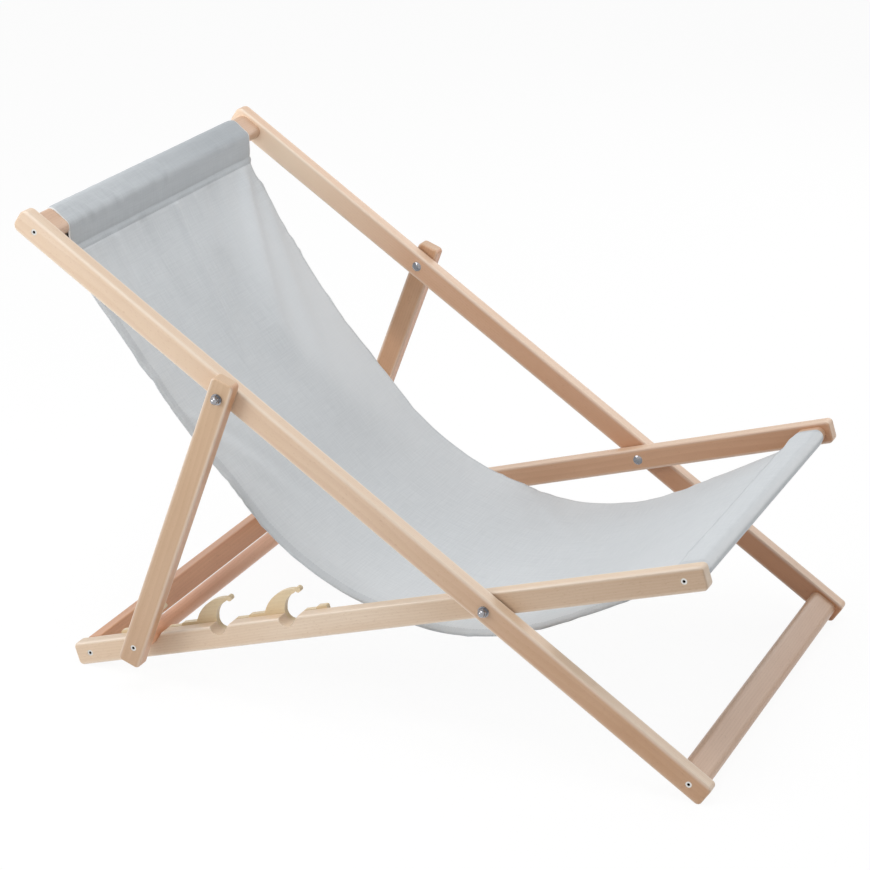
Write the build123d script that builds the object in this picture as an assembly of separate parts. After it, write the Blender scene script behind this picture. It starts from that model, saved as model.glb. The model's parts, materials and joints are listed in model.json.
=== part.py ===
from build123d import *
import math
import os

# Folding beach lounger: three timber frames joined by four bolts, with a fabric sling.
# Millimetres. +X towards the foot end, +Y the sitter's left, +Z up.
# The origin is on the floor, at the middle of the lounger's length and width.

# Timber section and frame widths
frame_width = 600.0
rail_depth = 30.0
rail_thickness = 19.0
rail_gap = 2.0
edge_round = 2.5
end_round = 6.0
head_round = 9.0
foot_flat_depth = 0.5

# Back frame: reaches along its rails from the main pivot, and how far in from an end a bar is
back_head_reach = 729.0
back_foot_reach = 335.0
prop_pivot_reach = 399.5
head_bar_inset = 27.5
foot_bar_inset = 25.0

# Seat frame: reaches along its rails from the main pivot, and how far in from an end a bar is
seat_rear_reach = 600.0
seat_front_reach = 275.0
rear_bar_inset = 21.0
front_bar_inset = 26.5

# Cross bars: slats with bullnosed edges, and an upright bar at the rear of the seat frame
slat_width = 38.0
slat_thickness = 19.0
slat_nose_round = 9.3
rear_bar_thickness = 19.0
rear_bar_depth = 30.0
rear_bar_round = 2.0

# Prop frame
prop_length = 372.5
prop_top_reach = 24.0
prop_bottom_reach = 25.0
dowel_radius = 11.0
dowel_edge_round = 1.5

# Notches in the seat rails, the first one in from the rear end
notch_inset = 119.5
notch_pitch = 100.5
notch_count = 3
notch_clearance = 0.3
notch_drop = 0.5
notch_flare_angle = 45.0

# Hook plates on the inner faces of the seat rails
plate_thickness = 8.0
plate_rear_margin = 56.0
plate_front_margin = 49.0
plate_below_centre = 10.0
plate_edge_round = 1.0
step_height = 3.0
step_round = 2.5
fin_base_rear = 42.0
fin_back_mid_rear = 19.5
fin_back_mid_height = 38.0
fin_neck_front = 9.0
fin_neck_height = 41.2
fin_neck_depth = 5.2
fin_knob_front = 15.8
fin_knob_height = 42.0
fin_knob_radius = 3.6
fin_front_mid_rear = 4.0
fin_front_mid_height = 31.0
step_rear = 64.0
end_step_rear = 34.0

# Wood screws with a hexagon socket
screw_head_radius = 3.9
screw_head_height = 2.6
screw_shank_radius = 2.5
screw_length = 55.0
screw_sink = 0.3
screw_play = 0.1
socket_across_flats = 3.6
socket_depth = 2.2
plate_screw_head_radius = 3.0
plate_screw_head_height = 2.0
plate_screw_shank_radius = 1.6
plate_screw_length = 22.0
plate_screw_socket = 2.5
plate_screw_socket_depth = 1.4
plate_screw_below = 3.0

# Pivot bolts, washers and cap nuts
bolt_radius = 3.0
bolt_head_radius = 6.5
bolt_head_height = 1.7
bolt_neck_side = 6.4
bolt_neck_depth = 3.0
running_clearance = 0.05
washer_radius = 7.0
washer_thickness = 1.2
spacer_radius = 8.0
spacer_play = 0.1
washer_bore_clearance = 0.2
nut_across_flats = 10.0
nut_hex_height = 5.0
nut_dome_radius = 4.4
nut_bore_depth = 6.5
bolt_end_gap = 1.0

# Fabric sling
cloth_thickness = 1.0
cloth_half_width = 228.0
pocket_clearance = 0.3
head_seam_ahead = 33.0
head_seam_below = 16.5
front_seam_behind = 36.0
front_seam_below = 10.5
low_point_behind = 90.0
low_point_below = 66.0
fold_height = 3.0
fold_count = 3

cut_over = 2.0

# The back of the sling falls from the head seam to its low point: pairs of the way
# along and the way down, and how deep the folds are there
back_line_shares = [
    (0.117, 0.224, 0.5),
    (0.262, 0.443, 1.0),
    (0.396, 0.621, 1.0),
    (0.558, 0.812, 0.8),
    (0.721, 0.924, 0.4),
    (1.0, 1.0, 0.0),
]

# The seat is one arc from the low point to the front seam, with no folds
seat_sag_share = 0.085

# Bars and the first notch keep their distance from the rail's end
head_bar_reach = back_head_reach - head_bar_inset
foot_bar_reach = back_foot_reach - foot_bar_inset
rear_bar_reach = seat_rear_reach - rear_bar_inset
front_bar_reach = seat_front_reach - front_bar_inset
notch_reach = seat_rear_reach - notch_inset

# Widths, from the outside in: prop legs, back rails, seat rails, hook plates
prop_outer_y = frame_width / 2
prop_inner_y = prop_outer_y - rail_thickness
back_outer_y = prop_inner_y - rail_gap
back_inner_y = back_outer_y - rail_thickness
seat_outer_y = back_inner_y - rail_gap
seat_inner_y = seat_outer_y - rail_thickness
plate_inner_y = seat_inner_y - plate_thickness

# Heights in a rail's own frame, from its centre line
rail_top = rail_depth / 2
notch_radius = dowel_radius + notch_clearance
notch_centre = rail_top - notch_drop

# The triangle of main pivot, prop pivot and rearmost notch sets how far the frame opens
seat_side = math.hypot(notch_reach, notch_centre)
opening_cosine = (prop_pivot_reach**2 + seat_side**2 - prop_length**2) / (2 * prop_pivot_reach * seat_side)
opening_angle = math.degrees(math.acos(opening_cosine)) + math.degrees(math.atan2(notch_centre, notch_reach))


def along(distance, height, angle):
    """Side view place of a point on a rail that falls to the front by angle."""
    turn = math.radians(angle)
    across = distance * math.cos(turn) + height * math.sin(turn)
    up = height * math.cos(turn) - distance * math.sin(turn)
    return across, up


# Both frames stand on the rounded lower corners of their rails
foot_x, foot_z = along(back_foot_reach - end_round, end_round - rail_top, opening_angle)
rear_x, rear_z = end_round - seat_rear_reach, end_round - rail_top
seat_angle = -math.degrees(math.atan2(rear_z - foot_z, foot_x - rear_x))
back_angle = opening_angle + seat_angle
pivot_height = end_round - foot_flat_depth - along(back_foot_reach - end_round, end_round - rail_top, back_angle)[1]


# The back rails reach furthest at both ends, so they set where the middle is
head_x = along(head_round - back_head_reach, head_round - rail_depth / 2, back_angle)[0] - head_round
toe_x = along(back_foot_reach - end_round, rail_depth / 2 - end_round, back_angle)[0] + end_round
pivot_x = -(head_x + toe_x) / 2

back_place = Location((pivot_x, 0, pivot_height), (0, back_angle, 0))
seat_place = Location((pivot_x, 0, pivot_height), (0, seat_angle, 0))
prop_x, prop_z = along(-prop_pivot_reach, 0, back_angle)
dowel_x, dowel_z = along(-notch_reach, notch_centre, seat_angle)
prop_angle = math.degrees(math.atan2(prop_z - dowel_z, dowel_x - prop_x))
prop_place = Location((pivot_x + prop_x, 0, pivot_height + prop_z), (0, prop_angle, 0))


def slab(profile, y_low, y_high):
    """Side view profile, drawn in X and Z, made solid between two widths."""
    return extrude(Plane.XZ.offset(-y_high) * profile, amount=y_high - y_low)


def rod(radius, x, z, y_low, y_high):
    """Round bar or hole across the lounger."""
    return slab(Pos(x, z) * Circle(radius), y_low, y_high)


def softened(solid, y_low, y_high, radius):
    """Round the long edges of both side faces."""
    rims = [e for e in solid.edges() if on_side(e, y_low) or on_side(e, y_high)]
    return fillet(rims, radius)


def on_side(edge, y):
    box = edge.bounding_box()
    return abs(box.min.Y - y) < edge_round / 100 and abs(box.max.Y - y) < edge_round / 100


def rail_profile(x_low, x_high, round_low, round_high):
    """Side view of a rail with its own corner rounding at each end."""
    joint = (x_low + x_high) / 2
    low = Pos((x_low + joint + round_low) / 2, 0) * RectangleRounded(joint + round_low - x_low, rail_depth, round_low)
    high = Pos((x_high + joint - round_high) / 2, 0) * RectangleRounded(
        x_high - joint + round_high, rail_depth, round_high
    )
    filler = Pos(joint, 0) * Rectangle(round_low + round_high, rail_depth)
    return low + high + filler


def rail(x_low, x_high, round_low, round_high, y_low, y_high):
    return softened(slab(rail_profile(x_low, x_high, round_low, round_high), y_low, y_high), y_low, y_high, edge_round)


def mirrored(solid):
    return mirror(solid, about=Plane.XZ)


def on_floor(solid):
    """Plane off the little flat that stands on the floor."""
    box = solid.bounding_box()
    below = Box(box.size.X + cut_over, box.size.Y + cut_over, rail_depth, align=(Align.CENTER, Align.CENTER, Align.MAX))
    return solid - Pos(box.center().X, box.center().Y, 0) * below


# Wood screws: head at a side face, shank running inwards towards the centre plane
def countersink(x, z, face_y, head_radius, head_height, shank_radius, length, play):
    """Cone and cylinder of a screw whose head lies in the face at +face_y."""
    profile = make_face(
        Polyline(
            (0, cut_over),
            (head_radius + play, cut_over),
            (head_radius + play, 0),
            (shank_radius + play, -head_height),
            (shank_radius + play, -length - play),
            (0, -length - play),
            close=True,
        )
    )
    cone = revolve(profile, axis=Axis.Y)
    return Pos(x, face_y, z) * cone


def wood_screw(x, z, face_y, head_radius, head_height, shank_radius, length, socket, socket_deep, sink):
    profile = make_face(
        Polyline(
            (0, 0),
            (head_radius, 0),
            (shank_radius, -head_height),
            (shank_radius, shank_radius - length),
            (0, -length),
            close=True,
        )
    )
    body = revolve(profile, axis=Axis.Y)
    hexagon = RegularPolygon(socket / 2, 6, major_radius=False)
    body -= slab(hexagon, -socket_deep, cut_over)
    return Pos(x, face_y - sink, z) * body


def bar_screw(x, z, face_y):
    return wood_screw(
        x, z, face_y, screw_head_radius, screw_head_height, screw_shank_radius,
        screw_length, socket_across_flats, socket_depth, screw_sink,
    )


def bar_screw_hole(x, z, face_y):
    hole = countersink(
        x, z, face_y - screw_sink, screw_head_radius, screw_head_height,
        screw_shank_radius, screw_length, screw_play,
    )
    return hole


def screw_pair(x, z, face_y, place):
    screw = place * bar_screw(x, z, face_y)
    return Compound(children=[screw, mirrored(screw)])


# Pivot bolt from an inner face outwards, with its washers and cap nut
def pivot_bolt(x, inner_y, end_y):
    dome_radius = (bolt_head_radius**2 + bolt_head_height**2) / (2 * bolt_head_height)
    profile = make_face(
        Line((0, -bolt_head_height), (0, end_y - inner_y))
        + Line((0, end_y - inner_y), (bolt_radius, end_y - inner_y))
        + Line((bolt_radius, end_y - inner_y), (bolt_radius, 0))
        + Line((bolt_radius, 0), (bolt_head_radius, 0))
        + RadiusArc((bolt_head_radius, 0), (0, -bolt_head_height), dome_radius)
    )
    body = revolve(profile, axis=Axis.Y)
    body += slab(Rectangle(bolt_neck_side, bolt_neck_side), 0, bolt_neck_depth)
    return Pos(x, inner_y, 0) * body


def ring(x, outer, inner, y_low, y_high):
    return rod(outer, x, 0, y_low, y_high) - rod(inner, x, 0, y_low - cut_over, y_high + cut_over)


def cap_nut(x, face_y):
    hexagon = RegularPolygon(nut_across_flats / 2, 6, major_radius=False)
    chamfer_cone = revolve(
        make_face(
            Polyline(
                (0, 0),
                (nut_across_flats / 2, 0),
                (nut_across_flats / 2 + nut_hex_height / 4, nut_hex_height / 4),
                (nut_across_flats / 2 + nut_hex_height / 4, nut_hex_height * 3 / 4),
                (nut_across_flats / 2, nut_hex_height),
                (0, nut_hex_height),
                close=True,
            )
        ),
        axis=Axis.Y,
    )
    body = slab(hexagon, 0, nut_hex_height) & chamfer_cone
    dome = Pos(0, nut_hex_height, 0) * Sphere(nut_dome_radius)
    body += dome & slab(hexagon, nut_hex_height / 2, nut_hex_height + nut_dome_radius + cut_over)
    body -= rod(bolt_radius + running_clearance, 0, 0, -cut_over, nut_bore_depth)
    return Pos(x, face_y, 0) * body


def bolt_reach(outer_face_y):
    """Where a bolt ends, inside the cap nut that stands on its washer."""
    return outer_face_y + washer_thickness + nut_bore_depth - bolt_end_gap


# Back frame
def back_rail():
    body = rail(-back_head_reach, back_foot_reach, head_round, end_round, back_inner_y, back_outer_y)
    for reach in (-head_bar_reach, foot_bar_reach):
        body -= bar_screw_hole(reach, 0, back_outer_y)
    bore = bolt_radius + running_clearance
    for reach in (-prop_pivot_reach, 0):
        body -= rod(bore, reach, 0, back_inner_y - cut_over, back_outer_y + cut_over)
    neck = bolt_neck_side + 2 * running_clearance
    neck_end = back_inner_y + bolt_neck_depth + running_clearance
    body -= Pos(-prop_pivot_reach, 0, 0) * slab(Rectangle(neck, neck), back_inner_y - cut_over, neck_end)
    return body


def slat(reach, half_length):
    """Bullnosed cross bar between two rails, wide face parallel to their top edges."""
    profile = Pos(reach, 0) * RectangleRounded(slat_width, slat_thickness, slat_nose_round)
    return slab(profile, -half_length, half_length)


def slat_with_holes(reach, half_length, face_y):
    body = slat(reach, half_length)
    hole = bar_screw_hole(reach, 0, face_y)
    return body - hole - mirrored(hole)


# Seat frame
def notch_cut(reach):
    """Round seat for the dowel, flared towards the front."""
    turn = math.radians(notch_flare_angle)
    touch_x, touch_z = notch_radius * math.cos(turn), notch_centre - notch_radius * math.sin(turn)
    rise = rail_top + cut_over - touch_z
    flare = make_face(
        Polyline(
            (0, notch_centre),
            (touch_x, touch_z),
            (touch_x + rise / math.tan(turn), rail_top + cut_over),
            (0, rail_top + cut_over),
            close=True,
        )
    )
    above = Pos(0, rail_top) * Rectangle(2 * notch_radius, rail_top - notch_centre + cut_over, align=(Align.CENTER, Align.MIN))
    return Pos(reach, 0) * (Pos(0, notch_centre) * Circle(notch_radius) + flare + above)


def notch_places():
    return [notch_pitch * number - notch_reach for number in range(notch_count)]


def seat_rail():
    body = rail(-seat_rear_reach, seat_front_reach, end_round, end_round, seat_inner_y, seat_outer_y)
    for reach in notch_places():
        body -= slab(notch_cut(reach), seat_inner_y - cut_over, seat_outer_y + cut_over)
    for reach in (-rear_bar_reach, front_bar_reach):
        body -= bar_screw_hole(reach, 0, seat_outer_y)
    body -= rod(bolt_radius + running_clearance, 0, 0, seat_inner_y - cut_over, seat_outer_y + cut_over)
    neck = bolt_neck_side + 2 * running_clearance
    neck_end = seat_inner_y + bolt_neck_depth + running_clearance
    body -= slab(Rectangle(neck, neck), seat_inner_y - cut_over, neck_end)
    for reach in plate_screw_places():
        body -= plate_screw_hole(reach)
    return body


def fin(reach):
    """Hook behind a notch: a rising back, a hollow front over the dowel and a round knob for a tip."""
    base_z = rail_top - plate_edge_round
    neck_top = (fin_neck_front, fin_neck_height + fin_neck_depth / 2)
    neck_low = (fin_neck_front, fin_neck_height - fin_neck_depth / 2)
    outline = (
        ThreePointArc((-fin_base_rear, base_z), (-fin_back_mid_rear, fin_back_mid_height), neck_top)
        + Line(neck_top, (fin_knob_front, fin_knob_height))
        + Line((fin_knob_front, fin_knob_height), neck_low)
        + ThreePointArc(neck_low, (-fin_front_mid_rear, fin_front_mid_height), (-notch_radius, base_z))
        + Line((-notch_radius, base_z), (-fin_base_rear, base_z))
    )
    knob = Pos(fin_knob_front, fin_knob_height) * Circle(fin_knob_radius)
    return Pos(reach, 0) * (make_face(outline) + knob)


def step(x_low, x_high):
    """Low raised land on top of a hook plate."""
    height = step_height + step_round
    land = RectangleRounded(x_high - x_low, 2 * height, step_round)
    return Pos((x_low + x_high) / 2, rail_top + step_height - height) * land


def plate_profile():
    places = notch_places()
    x_low, x_high = places[0] - plate_rear_margin, places[-1] + plate_front_margin
    body = Pos((x_low + x_high) / 2, (rail_top - plate_below_centre) / 2) * RectangleRounded(
        x_high - x_low, rail_top + plate_below_centre, step_round
    )
    for reach in places:
        rear_end = max(reach - step_rear, x_low)
        body += step(rear_end, reach - notch_radius) + fin(reach)
    body += step(places[-1] + end_step_rear, x_high)
    for reach in places:
        body -= notch_cut(reach) & plate_notch_limit(reach)
    return body


def plate_notch_limit(reach):
    """The part of the notch that the plate shares with the rail, below the hook."""
    return Pos(reach, 0) * Rectangle(4 * notch_radius, 2 * (rail_top + step_height), align=(Align.CENTER, Align.CENTER))


def hook_plate():
    body = slab(plate_profile(), plate_inner_y, seat_inner_y)
    for reach in plate_screw_places():
        body -= plate_screw_hole(reach)
    return body


def plate_screw_places():
    half = (notch_pitch - notch_radius) / 2
    return [reach - half for reach in notch_places()] + [notch_places()[-1] + half - notch_radius]


def plate_screw_hole(reach):
    cone = countersink(
        reach, plate_screw_below, -plate_inner_y - screw_sink, plate_screw_head_radius,
        plate_screw_head_height, plate_screw_shank_radius, plate_screw_length, screw_play,
    )
    return mirrored(cone)


def plate_screws():
    screws = []
    for reach in plate_screw_places():
        screw = mirrored(
            wood_screw(
                reach, plate_screw_below, -plate_inner_y, plate_screw_head_radius,
                plate_screw_head_height, plate_screw_shank_radius, plate_screw_length,
                plate_screw_socket, plate_screw_socket_depth, screw_sink,
            )
        )
        screws += [seat_place * screw, mirrored(seat_place * screw)]
    return Compound(children=screws)


def rear_bar():
    profile = Pos(-rear_bar_reach, 0) * RectangleRounded(rear_bar_thickness, rear_bar_depth, rear_bar_round)
    body = slab(profile, -seat_inner_y, seat_inner_y)
    hole = bar_screw_hole(-rear_bar_reach, 0, seat_outer_y)
    return body - hole - mirrored(hole)


# Prop frame, along its legs from the prop pivot
def prop_leg():
    body = rail(-prop_top_reach, prop_length + prop_bottom_reach, end_round, end_round, prop_inner_y, prop_outer_y)
    body -= rod(bolt_radius + running_clearance, 0, 0, prop_inner_y - cut_over, prop_outer_y + cut_over)
    return body - bar_screw_hole(prop_length, 0, prop_outer_y)


def dowel():
    body = rod(dowel_radius, prop_length, 0, -prop_inner_y, prop_inner_y)
    body = fillet(body.edges().filter_by(GeomType.CIRCLE), dowel_edge_round)
    hole = bar_screw_hole(prop_length, 0, prop_outer_y)
    return body - hole - mirrored(hole)


# Fabric sling
def side_plane(x, z, across, up):
    """Plane across the sling at a place of its side line, facing along the line."""
    return Plane(origin=(pivot_x + x, 0, pivot_height + z), x_dir=(0, 1, 0), z_dir=(across, 0, up))


def cloth_section(plane, depth):
    """Closed thin strip as wide as the cloth, with its folds as alternate arcs."""
    count = 2 * fold_count
    width = 2 * cloth_half_width / count
    half = cloth_thickness / 2

    def edge_line(offset, forward):
        pieces = []
        order = range(count) if forward else reversed(range(count))
        for number in order:
            y_low, y_high = number * width - cloth_half_width, (number + 1) * width - cloth_half_width
            rise = depth * fold_height * (1 if number % 2 else -1) / 2
            ends = [(y_low, offset), ((y_low + y_high) / 2, offset + rise), (y_high, offset)]
            if not forward:
                ends.reverse()
            pieces.append(ThreePointArc(*ends) if depth else Line(ends[0], ends[2]))
        return pieces

    sides = [
        Line((cloth_half_width, -half), (cloth_half_width, half)),
        Line((-cloth_half_width, half), (-cloth_half_width, -half)),
    ]
    wire = Wire(edge_line(-half, True) + [sides[0]] + edge_line(half, False) + [sides[1]])
    return plane * make_face(wire)


def pocket(bar_reach, seam_reach, seam_height):
    """Side view of the sleeve round a slat, drawn out to its seam, in the rail's own frame."""
    half_x = slat_width / 2 + pocket_clearance
    half_z = slat_thickness / 2 + pocket_clearance
    inner = make_face(
        Polyline(
            (-half_x, -half_z),
            (-half_x, half_z),
            (half_x, half_z),
            (abs(seam_reach - bar_reach), seam_height),
            close=True,
        )
    )
    inner = fillet(inner.vertices().sort_by(Axis.X)[:-1], slat_nose_round)
    outer = offset(inner, cloth_thickness, kind=Kind.ARC)
    sleeve = outer - inner
    if seam_reach < bar_reach:
        sleeve = mirror(sleeve, about=Plane.YZ)
    return Pos(bar_reach, 0) * sleeve


def seat_cloth(low, front):
    """Side view of the seat: an even strip along an arc, and the way it faces at the low point."""
    chord = math.hypot(front[0] - low[0], front[1] - low[1])
    sag = chord * seat_sag_share
    radius = (chord / 2) ** 2 / (2 * sag) + sag / 2
    start = math.atan2(front[1] - low[1], front[0] - low[0]) - math.asin(chord / (2 * radius))
    centre = (low[0] - radius * math.sin(start), low[1] + radius * math.cos(start))
    sweep = 2 * math.degrees(math.asin(chord / (2 * radius)))
    first = math.degrees(start) - 90
    inner = CenterArc(centre, radius - cloth_thickness / 2, first, sweep)
    outer = CenterArc(centre, radius + cloth_thickness / 2, first, sweep)
    strip = make_face(inner + outer + Line(inner @ 0, outer @ 0) + Line(inner @ 1, outer @ 1))
    return strip, (math.cos(start), math.sin(start))


def sling():
    head = along(head_seam_ahead - head_bar_reach + cloth_thickness / 2, -head_seam_below, back_angle)
    front = along(front_bar_reach - front_seam_behind - cloth_thickness / 2, -front_seam_below, seat_angle)
    low = (-low_point_behind, -low_point_below)
    strip, facing = seat_cloth(low, front)
    places = [(head[0], head[1], 0)]
    for way, drop, depth in back_line_shares:
        places.append((head[0] + way * (low[0] - head[0]), head[1] + drop * (low[1] - head[1]), depth))
    sections = []
    for number, (x, z, depth) in enumerate(places[:-1]):
        before = places[max(number - 1, 0)]
        after = places[number + 1]
        run = math.hypot(after[0] - before[0], after[1] - before[1])
        plane = side_plane(x, z, (after[0] - before[0]) / run, (after[1] - before[1]) / run)
        sections.append(cloth_section(plane, depth))
    sections.append(cloth_section(side_plane(low[0], low[1], facing[0], facing[1]), 0))
    back = loft(sections)
    head_pocket = pocket(-head_bar_reach, head_seam_ahead - head_bar_reach, -head_seam_below)
    front_pocket = pocket(front_bar_reach, front_bar_reach - front_seam_behind, -front_seam_below)
    seat = Pos(pivot_x, pivot_height) * (strip + Rot(0, 0, -seat_angle) * front_pocket)
    seat = slab(seat, -cloth_half_width, cloth_half_width)
    return back + seat + back_place * slab(head_pocket, -cloth_half_width, cloth_half_width)


os.makedirs("parts", exist_ok=True)
nodes = {}

back_left = on_floor(back_place * back_rail())
nodes["back_rail_left"] = back_left
nodes["back_rail_right"] = mirrored(back_left)
nodes["head_bar"] = back_place * slat_with_holes(-head_bar_reach, back_inner_y, back_outer_y)
nodes["foot_bar"] = back_place * slat_with_holes(foot_bar_reach, back_inner_y, back_outer_y)
nodes["head_bar_screws"] = screw_pair(-head_bar_reach, 0, back_outer_y, back_place)
nodes["foot_bar_screws"] = screw_pair(foot_bar_reach, 0, back_outer_y, back_place)

seat_left = on_floor(seat_place * seat_rail())
nodes["seat_rail_left"] = seat_left
nodes["seat_rail_right"] = mirrored(seat_left)
nodes["rear_bar"] = seat_place * rear_bar()
nodes["front_bar"] = seat_place * slat_with_holes(front_bar_reach, seat_inner_y, seat_outer_y)
nodes["rear_bar_screws"] = screw_pair(-rear_bar_reach, 0, seat_outer_y, seat_place)
nodes["front_bar_screws"] = screw_pair(front_bar_reach, 0, seat_outer_y, seat_place)
plate_left = seat_place * hook_plate()
nodes["hook_plate_left"] = plate_left
nodes["hook_plate_right"] = mirrored(plate_left)
nodes["hook_plate_screws"] = plate_screws()

leg_left = prop_place * prop_leg()
nodes["prop_leg_left"] = leg_left
nodes["prop_leg_right"] = mirrored(leg_left)
nodes["prop_dowel"] = prop_place * dowel()
nodes["prop_dowel_screws"] = screw_pair(prop_length, 0, prop_outer_y, prop_place)

bore = bolt_radius + washer_bore_clearance
pivots = {
    "prop_pivot": (-prop_pivot_reach, back_place, back_inner_y, back_outer_y, prop_inner_y, prop_outer_y),
    "main_pivot": (0, seat_place, seat_inner_y, seat_outer_y, back_inner_y, back_outer_y),
}
for name, (reach, place, head_y, gap_low, gap_high, nut_y) in pivots.items():
    bolt = place * pivot_bolt(reach, head_y, bolt_reach(nut_y))
    spacer = place * ring(reach, spacer_radius, bore, gap_low + spacer_play, gap_high - spacer_play)
    washer = place * ring(reach, washer_radius, bore, nut_y + spacer_play, nut_y + washer_thickness)
    nut = place * cap_nut(reach, nut_y + washer_thickness)
    for kind, piece in (("bolt", bolt), ("spacer", spacer), ("washer", washer), ("cap_nut", nut)):
        nodes[f"{name}_{kind}_left"] = piece
        nodes[f"{name}_{kind}_right"] = mirrored(piece)

nodes["sling"] = sling()

for name, node in nodes.items():
    export_step(node, f"parts/{name}.step")
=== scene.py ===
# %% [markdown]
# A folding beach lounger: crossed wooden rails on pivot bolts, a notched prop and a cloth sling.
# The rigid pieces come ready made from the CAD part, so this lesson dresses them in wood and
# metal, and makes the one thing that CAD draws poorly: the soft cloth with its pockets and seams.

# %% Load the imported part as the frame
import json
import math

import bpy
import numpy as np
from mathutils import Matrix, Vector


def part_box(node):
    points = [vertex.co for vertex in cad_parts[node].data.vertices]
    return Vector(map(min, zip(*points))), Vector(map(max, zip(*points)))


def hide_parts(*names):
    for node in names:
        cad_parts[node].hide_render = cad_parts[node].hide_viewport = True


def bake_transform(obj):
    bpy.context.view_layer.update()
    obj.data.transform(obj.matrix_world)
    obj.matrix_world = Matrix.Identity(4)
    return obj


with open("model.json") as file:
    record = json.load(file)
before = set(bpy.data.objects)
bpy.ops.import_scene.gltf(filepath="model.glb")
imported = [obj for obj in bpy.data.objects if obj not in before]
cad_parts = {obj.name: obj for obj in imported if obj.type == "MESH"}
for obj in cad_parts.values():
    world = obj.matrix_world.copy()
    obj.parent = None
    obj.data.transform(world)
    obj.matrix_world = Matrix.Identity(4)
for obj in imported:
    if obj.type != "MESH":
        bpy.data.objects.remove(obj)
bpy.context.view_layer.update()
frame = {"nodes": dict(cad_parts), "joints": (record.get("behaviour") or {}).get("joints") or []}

bpy.ops.object.select_all(action="DESELECT")
print("CAD nodes:", len(frame["nodes"]))

# %% [markdown]
# The lounger has three rigid frames, and each lies at its own slope. The pivots come from the
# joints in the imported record, and the slopes from the straight rails between them. With these
# numbers a piece, or a wood grain, can be laid along a rail instead of along the floor.


# %% Measure the slopes of the three frames
def box_middle(node):
    """Middle of a CAD node's box."""
    low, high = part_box(node)
    return (low + high) / 2


def slope_between(start, end):
    """Slope in radians of a rail from start to end, above 0 where it falls to the foot end."""
    return math.atan2(start.z - end.z, end.x - start.x)


joints = {joint["name"]: Vector(joint["pos_m"]) for joint in frame["joints"]}
main_pivot, prop_pivot = joints["back_fold"], joints["prop_swing"]
head_bar_middle, front_bar_middle = box_middle("head_bar"), box_middle("front_bar")
back_slope = slope_between(prop_pivot, main_pivot)
seat_slope = slope_between(main_pivot, front_bar_middle)
prop_slope = slope_between(prop_pivot, box_middle("prop_dowel"))
for frame_name, slope in (("back", back_slope), ("seat", seat_slope), ("prop", prop_slope)):
    print(f"the {frame_name} frame slopes by {math.degrees(slope):.2f} degrees")

# %% [markdown]
# A Blender material works in linear light, while colours are usually picked as sRGB hex codes.
# One function turns the second into the first. Another adds a shader node with its settings: an
# input that is given a node or a socket is linked, and any other value is typed into it.


# %% Helpers for colours and nodes
def linear(code):
    """Linear colour of an sRGB hex code."""
    parts = [int(code[i : i + 2], 16) / 255 for i in (1, 3, 5)]
    return (*[c / 12.92 if c <= 0.04045 else ((c + 0.055) / 1.055) ** 2.4 for c in parts], 1.0)


def feed(node, inputs):
    """Link the inputs that are given as nodes or sockets, and type the others in."""
    for name, value in inputs.items():
        if isinstance(value, bpy.types.Node):
            value = next(socket for socket in value.outputs if socket.enabled)
        if isinstance(value, bpy.types.NodeSocket):
            node.id_data.links.new(value, node.inputs[name])
        else:
            node.inputs[name].default_value = value


def add(tree, kind, inputs=None, **settings):
    """Add a node with its settings, and feed its inputs."""
    node = tree.nodes.new(kind)
    for name, value in settings.items():
        setattr(node, name, value)
    feed(node, inputs or {})
    return node


def new_material(name):
    """An empty node material with its Principled shader linked to the output."""
    material = bpy.data.materials.new(name)
    material.use_nodes = True
    tree = material.node_tree
    tree.nodes.clear()
    shader = add(tree, "ShaderNodeBsdfPrincipled")
    add(tree, "ShaderNodeOutputMaterial", {"Surface": shader})
    return material, tree, shader


# A Mix node's inputs share their names, so they go by number: 0 the share, 6 and 7 the colours
paint = {"data_type": "RGBA"}
tint = {"data_type": "RGBA", "blend_type": "MULTIPLY"}
print("sRGB #808080 is", round(linear("#808080")[0], 3), "of white in linear light")

# %% [markdown]
# The rails are beech, planed and oiled: pale, close-grained, with soft growth rings and the short
# dark flecks that beech shows on every face. The rings are drawn as true cylinders round a pith
# beside the board, so that a face shows long stripes and a cut end shows arcs, as in real timber.
# Growth rings are 2 to 4 mm wide, pores 0.3 mm, and a fleck is 1 to 3 mm long. The pores would not
# show at this size, so they are drawn 1 mm wide. Noise that is squeezed along one axis makes them
# all: the slow waves of the rings, broad changes of tone, fibres, and the flecks among them.

# %% Grain of a board
ring_width = 0.0032
late_wood_start = 0.85  # the last part of each ring is its dense, dark late wood
wave_reach = 0.016


def streaks(tree, place, squeeze, scale, detail):
    """Noise drawn out along an axis: squeeze is the share of the scale that each axis gets."""
    squeezed = add(tree, "ShaderNodeMapping", {"Vector": place, "Scale": squeeze})
    return add(tree, "ShaderNodeTexNoise", {"Vector": squeezed, "Scale": scale, "Detail": detail})


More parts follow.
